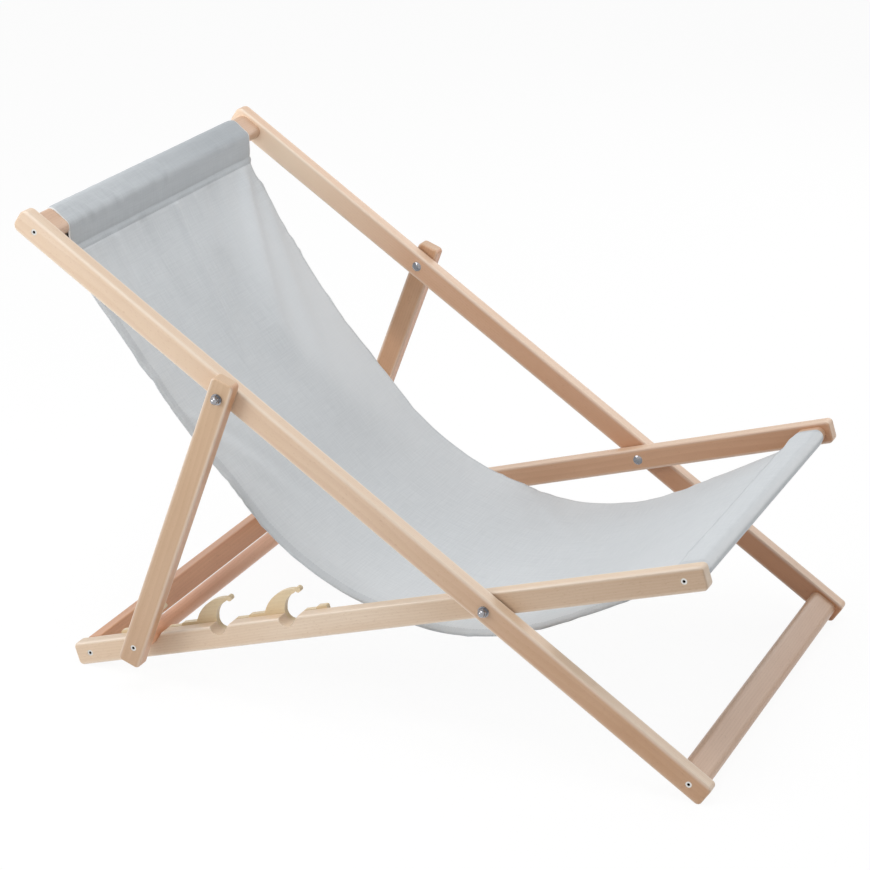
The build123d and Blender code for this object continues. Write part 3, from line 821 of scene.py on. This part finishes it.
# %% Thickness of the cloth
def thicken(piece):
    """Give a sheet of cloth its thickness, with its outside out, and shade it smooth."""
    bpy.ops.object.select_all(action="DESELECT")
    piece.select_set(True)
    bpy.context.view_layer.objects.active = piece
    solidify = piece.modifiers.new("thickness", "SOLIDIFY")
    solidify.thickness = cloth_thickness
    solidify.offset = 0.0
    solidify.use_even_offset = True
    bpy.ops.object.modifier_apply(modifier=solidify.name)
    bpy.ops.object.shade_smooth()
    piece.select_set(False)


thicken(sling)
print("sling faces", len(sling.data.polygons))

# %% [markdown]
# Each long edge is turned under once and sewn, so it is two layers thick for 14 mm. The second
# layer is a strip of its own that lies against the underside, a cloth's thickness lower. It draws
# up in little waves between the stitches, which is what makes a canvas edge look sewn.

# %% Hems under both long edges
hem_width = 0.014
under_cloth = -cloth_thickness - 0.00005
hems = []
for side_name, side in (("right", -1), ("left", 1)):
    shares = np.linspace(1 - hem_width / half_width_at_bars, 0.9995, 8) * side
    hem = cloth_grid(f"sling_hem_{side_name}", np.sort(shares), under_cloth)
    thicken(hem)
    hems.append(hem)
print("hem faces", [len(hem.data.polygons) for hem in hems])

# %% [markdown]
# Canvas is a plain weave: each thread passes over one and under the next, about 0.8 mm apart in
# this weight. A thread that fine would not show at this distance, so the weave is drawn at 1.6 mm.
# Two crossed waves make the over and under, and slow noise makes the thick and thin threads, or
# slubs, that cotton always has.

# %% Weave of the canvas
thread_gap = 0.0016


def plain_weave(tree, flat, places):
    """The over and under of the threads, from -1 to 1, and the tone of the slubs."""
    waves = []
    for way in ("X", "Y"):
        phase = {0: places.outputs[way], 1: 2 * math.pi / thread_gap}
        phase = add(tree, "ShaderNodeMath", phase, operation="MULTIPLY")
        waves.append(add(tree, "ShaderNodeMath", {0: phase}, operation="SINE"))
    weave = add(tree, "ShaderNodeMath", {0: waves[0], 1: waves[1]}, operation="MULTIPLY")

    # Slubs run along single threads: 2 mm wide, some 40 mm long, both ways
    lengthways, crossways = (
        streaks(tree, flat, squeeze, 520.0, 2.0) for squeeze in ((1, 0.05, 1), (0.05, 1, 1))
    )
    slubs = add(tree, "ShaderNodeMath", {0: lengthways, 1: crossways}, operation="ADD")
    return weave, slubs


print("threads are drawn", 1000 * thread_gap, "mm apart")

# %% [markdown]
# An oval of painted light lies high up on the cloth's left-hand side, where the tilted cloth
# catches more light. A Mapping node moves the oval's middle to zero and squeezes its two half axes
# to one, so that the distance from zero says how far out a place is. UVs are metres here, so the
# oval is given in metres as well.

# %% The oval of painted light
oval_across, oval_down = 0.165, 0.21  # its middle, from the cloth's middle and from the head seam
oval_half_wide, oval_half_long = 0.11, 0.25
bleach_start, bleach_full = 1.1, 0.25  # how far out, where the oval's own edge is at 1
bleach_strength = 0.7


def bleached_share(tree, flat):
    """Share of the painted light: most in the middle of the oval, and none a little outside it."""
    squeeze = (1 / oval_half_wide, 1 / oval_half_long, 1.0)
    middle = (-oval_across * squeeze[0], -(head_seam_reach + oval_down) * squeeze[1], 0.0)
    off = {"Vector": flat, "Location": middle, "Scale": squeeze}
    off = add(tree, "ShaderNodeMapping", off)
    off = add(tree, "ShaderNodeVectorMath", {0: off}, operation="LENGTH")
    share = {"Value": off, "From Min": bleach_start, "From Max": bleach_full}
    share["To Max"] = bleach_strength
    return add(tree, "ShaderNodeMapRange", share, interpolation_type="SMOOTHSTEP")


print("oval", 2 * oval_half_wide, "m wide and", 2 * oval_half_long, "m long")

# %% [markdown]
# Light comes through a single layer of cloth. In the pockets, the seam bands and the hems it can't,
# so these are a tone deeper. The regions are patches in metres across and down the flat cloth, and
# where two of them meet, the stronger one counts.

# %% Painted shade where the cloth is double
band_out, band_in = 0.0085, 0.006  # a seam's band fades out between these distances from it
hem_in, hem_out = 0.0105, 0.0085  # the hem's painted shade starts and is full this far from the edge
head_lining, front_lining, hem_lining = 1.0, 0.5, 0.7


def lined_share(tree, reach, edge_off):
    """Share of painted shade in the head pocket with its seam band, the front seam and the side
    hems.
    """
    from_front = {0: reach, 1: front_seam_reach}
    from_front = add(tree, "ShaderNodeMath", from_front, operation="SUBTRACT")
    from_front = add(tree, "ShaderNodeMath", {0: from_front}, operation="ABSOLUTE")
    in_head = (reach, head_seam_reach + band_out, head_seam_reach + band_in)
    in_front = (from_front, band_out, band_in)
    in_hem = (edge_off, half_width_at_bars - hem_in, half_width_at_bars - hem_out)
    share = 0.0
    for edge, most in ((in_head, head_lining), (in_front, front_lining), (in_hem, hem_lining)):
        here = patch(tree, edge, most=most)
        share = add(tree, "ShaderNodeMath", {0: here, 1: share}, operation="MAXIMUM")
    return share


print("lining at the head", head_lining, "in front", front_lining, "and in the hems", hem_lining)

# %% [markdown]
# Three small tones are left. The top of the head pocket gets a painted shade, deeper towards its
# left-hand end. The front pocket gets a painted highlight where it turns over the bar's front edge.
# And the edge at the ends of the head pocket is drawn as a pale line.

# %% Painted light and shade on the pockets, and their pale end edge
less_faded, rubbed_pale, turned_edge = linear("#EAEBEC"), linear("#F2F5F7"), linear("#F7F9FA")
top_start, top_full, left_none, left_most = -0.026, -0.034, -0.10, 0.15
rub_start, rub_end = (0.057, 0.066), (0.0705, 0.067)  # (where 0, where full) past the front seam


def pocket_tones(tree, colour, across, reach, edge_off):
    """Lay the painted shade on the head pocket's top, the painted highlight on the front edge and
    the pale end lines over the cloth's colour.
    """
    # Painted shade: the head pocket's top is tinted deeper towards its left-hand end
    on_top = (reach, head_seam_reach + top_start, head_seam_reach + top_full)
    share = patch(tree, on_top, (across, left_none, left_most))
    colour = add(tree, "ShaderNodeMix", {0: share, 6: colour, 7: less_faded}, **tint)
    # Painted highlight: the front pocket is painted paler where it turns over the bar's front edge
    rubbed = [(reach, *(front_seam_reach + past for past in rub)) for rub in (rub_start, rub_end)]
    share = patch(tree, *rubbed)
    colour = add(tree, "ShaderNodeMix", {0: share, 6: colour, 7: rubbed_pale}, **paint)
    # A pale line along the edge at the ends of the head pocket
    at_edge = (edge_off, half_width_at_bars - 0.0018, half_width_at_bars - 0.0008)
    share = patch(tree, at_edge, (reach, head_seam_reach, head_seam_reach - 0.01))
    return add(tree, "ShaderNodeMix", {0: share, 6: colour, 7: turned_edge}, **paint)


print("the rubbed edge lies", round(1000 * rub_start[1]), "mm of cloth past the front seam")

# %% [markdown]
# Cotton is rough, with a faint sheen from its loose fibres and an IOR near 1.45. Slubs and the
# deeper side of the weave take a share of the deeper grey, and washing and sun leave cloudy
# patches some 120 mm across. A bump of a third of a millimetre lifts the threads and slubs.

# %% Canvas material
slub_strength, cloud_strength, weave_strength = 0.4, 0.35, 0.18
bleached = linear("#E9EDF0")


def canvas(name, pale, deep, lined):
    """Light cotton canvas; lined is the tint of painted shade where the cloth is double."""
    material, tree, shader = new_material(name)
    given = add(tree, "ShaderNodeTexCoord")
    flat = given.outputs["UV"]
    places = add(tree, "ShaderNodeSeparateXYZ", {0: flat})
    across, reach = places.outputs["X"], places.outputs["Y"]
    edge_off = add(tree, "ShaderNodeMath", {0: across}, operation="ABSOLUTE")
    weave, slubs = plain_weave(tree, flat, places)
    clouds = {"Vector": given.outputs["Object"], "Scale": 8.0, "Detail": 3.0}
    clouds = add(tree, "ShaderNodeTexNoise", clouds)
    colour = linear(pale)
    for pattern, start, full, strength, tone in (
        (slubs, 0.75, 1.25, slub_strength, deep),
        (clouds, 0.3, 0.7, cloud_strength, pale),
        (weave, -1.0, 1.0, weave_strength, deep),
    ):
        share = patch(tree, (pattern, start, full), most=strength)
        colour = add(tree, "ShaderNodeMix", {0: share, 6: colour, 7: linear(tone)}, **paint)
    # Painted light: an oval high on the left-hand side is painted paler
    share = bleached_share(tree, flat)
    colour = add(tree, "ShaderNodeMix", {0: share, 6: colour, 7: bleached}, **paint)
    # Painted shade: the pockets, seam bands and hems are tinted a tone deeper
    share = lined_share(tree, reach, edge_off)
    colour = add(tree, "ShaderNodeMix", {0: share, 6: colour, 7: linear(lined)}, **tint)
    colour = pocket_tones(tree, colour, across, reach, edge_off)

    height = add(tree, "ShaderNodeMath", {0: weave, 1: slubs}, operation="ADD")
    bump = {"Height": height, "Strength": 0.28, "Distance": 0.00035}
    bump = add(tree, "ShaderNodeBump", bump)
    feed(shader, {"Base Color": colour, "Roughness": 0.92, "IOR": 1.45, "Normal": bump})
    feed(shader, {"Specular IOR Level": 0.25, "Sheen Weight": 0.12, "Sheen Roughness": 0.5})
    return material


canvas_grey = canvas("cotton_canvas_light_grey", "#DBDFE2", "#C2C7CB", "#EDEEEF")
for piece in (sling, *hems):
    piece.data.materials.clear()
    piece.data.materials.append(canvas_grey)
print(canvas_grey.name, "has", len(canvas_grey.node_tree.nodes), "nodes")

# %% [markdown]
# A lockstitch seam shows as a row of short threads, each dipping into the cloth at both ends. One
# stitch is modelled from a small UV sphere, pressed flat and pulled long, with its ends pushed
# down. The row is made of copies of it: 3.4 mm long, 4.2 mm apart, each turned to lie on the cloth.

# %% One stitch
stitch_length, stitch_width, stitch_pitch = 0.0034, 0.0008, 0.0042
stitch_dip = 0.00035
bpy.ops.object.select_all(action="DESELECT")
bpy.ops.mesh.primitive_uv_sphere_add(segments=8, ring_count=6, radius=0.5)
stitch = bpy.context.object
stitch.name = "stitch_pattern"
bpy.ops.object.mode_set(mode="EDIT")
bpy.ops.mesh.select_all(action="SELECT")
bpy.ops.transform.resize(value=(stitch_length, stitch_width, stitch_width * 0.7))
bpy.ops.object.mode_set(mode="OBJECT")
for vertex in stitch.data.vertices:
    vertex.co.z -= stitch_dip * (2 * vertex.co.x / stitch_length) ** 2
print("one stitch has", len(stitch.data.polygons), "faces")

# %% [markdown]
# Each seam is one mesh of many stitches. For every stitch, its place, its direction and the
# cloth's normal are read off a narrow strip of the same cloth surface, so the thread follows every
# fold and pucker, and a small lift lays it on the cloth's upper face.

# %% Lay stitches on the cloth
thread_lift = cloth_thickness / 2 + 0.00015


def stitch_place(strip, reach, column, left_column, runs_across):
    """(place, direction, normal) of a stitch at a reach along one column of a strip of cloth."""
    row = np.interp(reach, side_reach, np.arange(rows))
    low = int(row)
    down_way = strip[low + 1, column] - strip[low, column]
    side_way = strip[low, column + 1] - strip[low, left_column]
    here = Vector(strip[low, column] + down_way * (row - low))
    direction, other = Vector(down_way).normalized(), Vector(side_way).normalized()
    if runs_across:
        direction, other = other, direction
    normal = other.cross(direction).normalized()
    normal = normal if normal.z > 0 else -normal
    return here + normal * thread_lift, direction, normal


def stitch_row(name, places):
    """One mesh of stitches at the given (place, direction, normal)."""
    pattern = np.array([v.co for v in stitch.data.vertices])
    # Sorted, because Blender lists a sphere's faces in another order each time
    faces = sorted(tuple(p.vertices) for p in stitch.data.polygons)
    points, polygons = [], []
    for place, direction, normal in places:
        sideways = normal.cross(direction).normalized()
        turn = np.array([direction, sideways, normal]).T
        polygons += [tuple(i + len(points) * len(pattern) for i in face) for face in faces]
        points.append(pattern @ turn.T + np.array(place))
    mesh = bpy.data.meshes.new(name)
    mesh.from_pydata(np.vstack(points).tolist(), [], polygons)
    row = bpy.data.objects.new(name, mesh)
    bpy.context.collection.objects.link(row)
    mesh.shade_smooth()
    print(name, "has", len(places), "stitches")
    return row


# %% [markdown]
# Two rows run from side to side at each seam, the upper and the lower, and one row runs down each
# hem. The pattern stitch is deleted when they are made, because it is no piece of the lounger.

# %% Rows of stitches
row_half_width, row_share = 0.224, 0.985  # a row stops just short of the cloth's edges
head_clear, front_clear = 0.006, 0.004  # a hem's row starts and stops clear of the seams


def seam_across(name, reach):
    """A row from side to side at a reach along the cloth."""
    count = int(2 * row_half_width / stitch_pitch)
    strip = cloth_surface(np.linspace(-row_share, row_share, count))
    places = [stitch_place(strip, reach, column, column, True) for column in range(count - 1)]
    return stitch_row(name, places)


def seam_along(name, side):
    """A row down the hem on one side, -1 or 1, seen on the upper face of the cloth."""
    share = side * (1 - hem_row / half_width_at_bars)
    strip = cloth_surface(np.array([share - 0.01, share, share + 0.01]))
    start, end = head_seam_reach + head_clear, front_seam_reach - front_clear
    reaches = np.arange(start, end, stitch_pitch)
    return stitch_row(name, [stitch_place(strip, reach, 1, 0, False) for reach in reaches])


seams = [
    seam_across("head_seam_upper", head_seam_reach + head_rows[0]),
    seam_across("head_seam_lower", head_seam_reach + head_rows[1]),
    seam_across("front_seam_upper", front_seam_reach + front_rows[0]),
    seam_across("front_seam_lower", front_seam_reach + front_rows[1]),
    seam_along("hem_seam_right", -1),
    seam_along("hem_seam_left", 1),
]
bpy.data.objects.remove(stitch)

# %% [markdown]
# Sewing thread is mercerised cotton: twisted, smooth and a little shinier than the canvas. The
# twist, 0.6 mm from turn to turn, is drawn as fine noise.

# %% Thread material
twist_length = 0.0006


def thread(name, colour, deep):
    """Twisted cotton thread between two tones."""
    material, tree, shader = new_material(name)
    place = add(tree, "ShaderNodeTexCoord").outputs["Object"]
    twist = {"Vector": place, "Scale": 1 / twist_length, "Detail": 1.0}
    twist = add(tree, "ShaderNodeTexNoise", twist)
    tone = add(tree, "ShaderNodeMix", {0: twist, 6: linear(colour), 7: linear(deep)}, **paint)
    bump = add(tree, "ShaderNodeBump", {"Height": twist, "Strength": 0.3, "Distance": 0.0001})
    feed(shader, {"Base Color": tone, "Roughness": 0.6, "IOR": 1.5, "Normal": bump})
    return material


grey_thread = thread("mercerised_cotton_thread", "#CDD1D4", "#A9AEB3")
for row in seams:
    row.data.materials.append(grey_thread)
print("seams dressed in", grey_thread.name)

# %% [markdown]
# When the lounger folds, the head bar comes down to the seat frame and the cloth goes with both.
# Here each cloth piece has its place baked into its mesh, and the CAD part's own sling is hidden,
# so that the new cloth stands in its place.

# %% Bake the cloth in place and hide the CAD sling
cloth_pieces = [sling, *hems, *seams]
for piece in cloth_pieces:
    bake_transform(piece)
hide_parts("sling")
print(len(cloth_pieces), "pieces bend with the cloth")

# %% [markdown]
# The stage is a plain white studio: a pale floor that takes the shadow, and a white world behind
# it. The camera and the mirrors see them near pure white, through Light Path, while the light on
# the object comes from soft lamps and a weaker sky, so that pale wood and canvas keep their own
# colours. Where it is seen, a tenth of the floor's look stays paint, so a faint shadow shows on it.

# %% Floor
floor_size, floor_glow, glow_share = 40, 1.02, 0.91


def seen_by(tree, rays):
    """1 for the named kinds of rays and 0 for the others."""
    path = add(tree, "ShaderNodeLightPath")
    share = path.outputs[rays[0]]
    for ray in rays[1:]:
        share = add(tree, "ShaderNodeMath", {0: share, 1: path.outputs[ray]}, operation="MAXIMUM")
    return share


bpy.ops.object.select_all(action="DESELECT")
bpy.ops.mesh.primitive_plane_add(size=floor_size, location=(0, 0, 0))
floor = bpy.context.object
floor.name = "studio_floor"
bpy.ops.object.mode_set(mode="EDIT")
bpy.ops.mesh.select_all(action="SELECT")
bpy.ops.mesh.subdivide(number_cuts=3)
bpy.ops.object.mode_set(mode="OBJECT")
floor_paint, tree, shader = new_material("matt_white_studio_floor")
feed(shader, {"Roughness": 0.9, "Base Color": linear("#F4F4F4")})
glow = add(tree, "ShaderNodeEmission", {"Color": linear("#FFFFFF"), "Strength": floor_glow})
seen = {0: seen_by(tree, ("Is Camera Ray", "Is Glossy Ray")), 1: glow_share}
seen = add(tree, "ShaderNodeMath", seen, operation="MULTIPLY")
both = add(tree, "ShaderNodeMixShader", {0: seen, 1: shader, 2: glow})
feed(tree.nodes["Material Output"], {"Surface": both})
floor.data.materials.append(floor_paint)
print("floor", floor_size, "m wide, in", floor_paint.name)

# %% [markdown]
# The world does the same job for everything above the floor. Rays that reach it from a diffuse
# surface find a sky of less than half its strength, which fills the shadows without washing the
# colours out, and rays from the eye, a mirror or glass find it white.

# %% World
sky_light, seen_white = 0.4, 1.0
world = bpy.data.worlds.new("studio_white")
bpy.context.scene.world = world
world.use_nodes = True
tree = world.node_tree
tree.nodes.clear()
seen = seen_by(tree, ("Is Camera Ray", "Is Glossy Ray", "Is Transmission Ray"))
strength = {"Value": seen, "To Min": sky_light, "To Max": seen_white}
strength = add(tree, "ShaderNodeMapRange", strength)
sky = {"Color": (1.0, 1.0, 1.0, 1.0), "Strength": strength}
sky = add(tree, "ShaderNodeBackground", sky)
add(tree, "ShaderNodeOutputWorld", {"Surface": sky})
print("sky lights at", sky_light, "and is seen at", seen_white)

# %% [markdown]
# Three area lamps light the lounger as in a product studio. A wide key hangs above, a fill on the
# head side opens the near rails, and a long rim lamp behind draws the far rails off the white. All
# are large and near, because the photograph has soft light and hardly any shadow.

# %% Lamps
lamps = [
    # (name, place, what it points at, width and height, power in watts)
    ("key_from_above", (-0.2, -0.4, 3.0), (0, 0, 0.2), (1.8, 1.8), 36),
    ("fill_from_head_side", (-1.2, -1.5, 1.0), (-0.3, 0, 0.3), (1.0, 0.8), 13),
    ("rim_from_behind", (0.8, 2.3, 1.4), (0.2, 0, 0.2), (2.6, 1.4), 15),
]
for name, place, target, size, power in lamps:
    lamp = bpy.data.lights.new(name, "AREA")
    lamp.shape = "RECTANGLE"
    lamp.size, lamp.size_y = size
    lamp.energy = power
    holder = bpy.data.objects.new(name, lamp)
    bpy.context.scene.collection.objects.link(holder)
    holder.location = place
    holder.rotation_euler = (Vector(target) - Vector(place)).to_track_quat("-Z", "Y").to_euler()
    print(name, power, "W")

# %% [markdown]
# The camera stands where the photographer stood: on the right-hand side, a little past the foot
# end and higher than the head bar, over 3 metres away. It was worked out from the pivots and rail
# ends in the photograph. The small shift is the photograph's own framing, off the centre.

# %% Camera
eye = Vector((main_pivot.x + 1.0936, -2.8356, main_pivot.z + 1.3172))
right = Vector((0.9227, 0.3853, 0.0141)).normalized()
forward = Vector((-0.3534, 0.8598, -0.3685))
forward = (forward - right * forward.dot(right)).normalized()
up = right.cross(forward)
lens = bpy.data.cameras.new("photographers_view")
lens.sensor_width = 36.0
lens.sensor_fit = "HORIZONTAL"
lens.lens = 109.01
lens.shift_x, lens.shift_y = -0.0978, 0.0067
lens.clip_end = 50
camera = bpy.data.objects.new("photographers_view", lens)
bpy.context.scene.collection.objects.link(camera)
turn = Matrix((right, up, -forward)).transposed().to_4x4()
camera.matrix_world = Matrix.Translation(eye) @ turn
bpy.context.scene.camera = camera
bpy.context.scene.view_settings.view_transform = "Standard"
print(f"the camera is {(eye - main_pivot).length:.2f} m from the main pivot, {eye.z:.2f} m up")
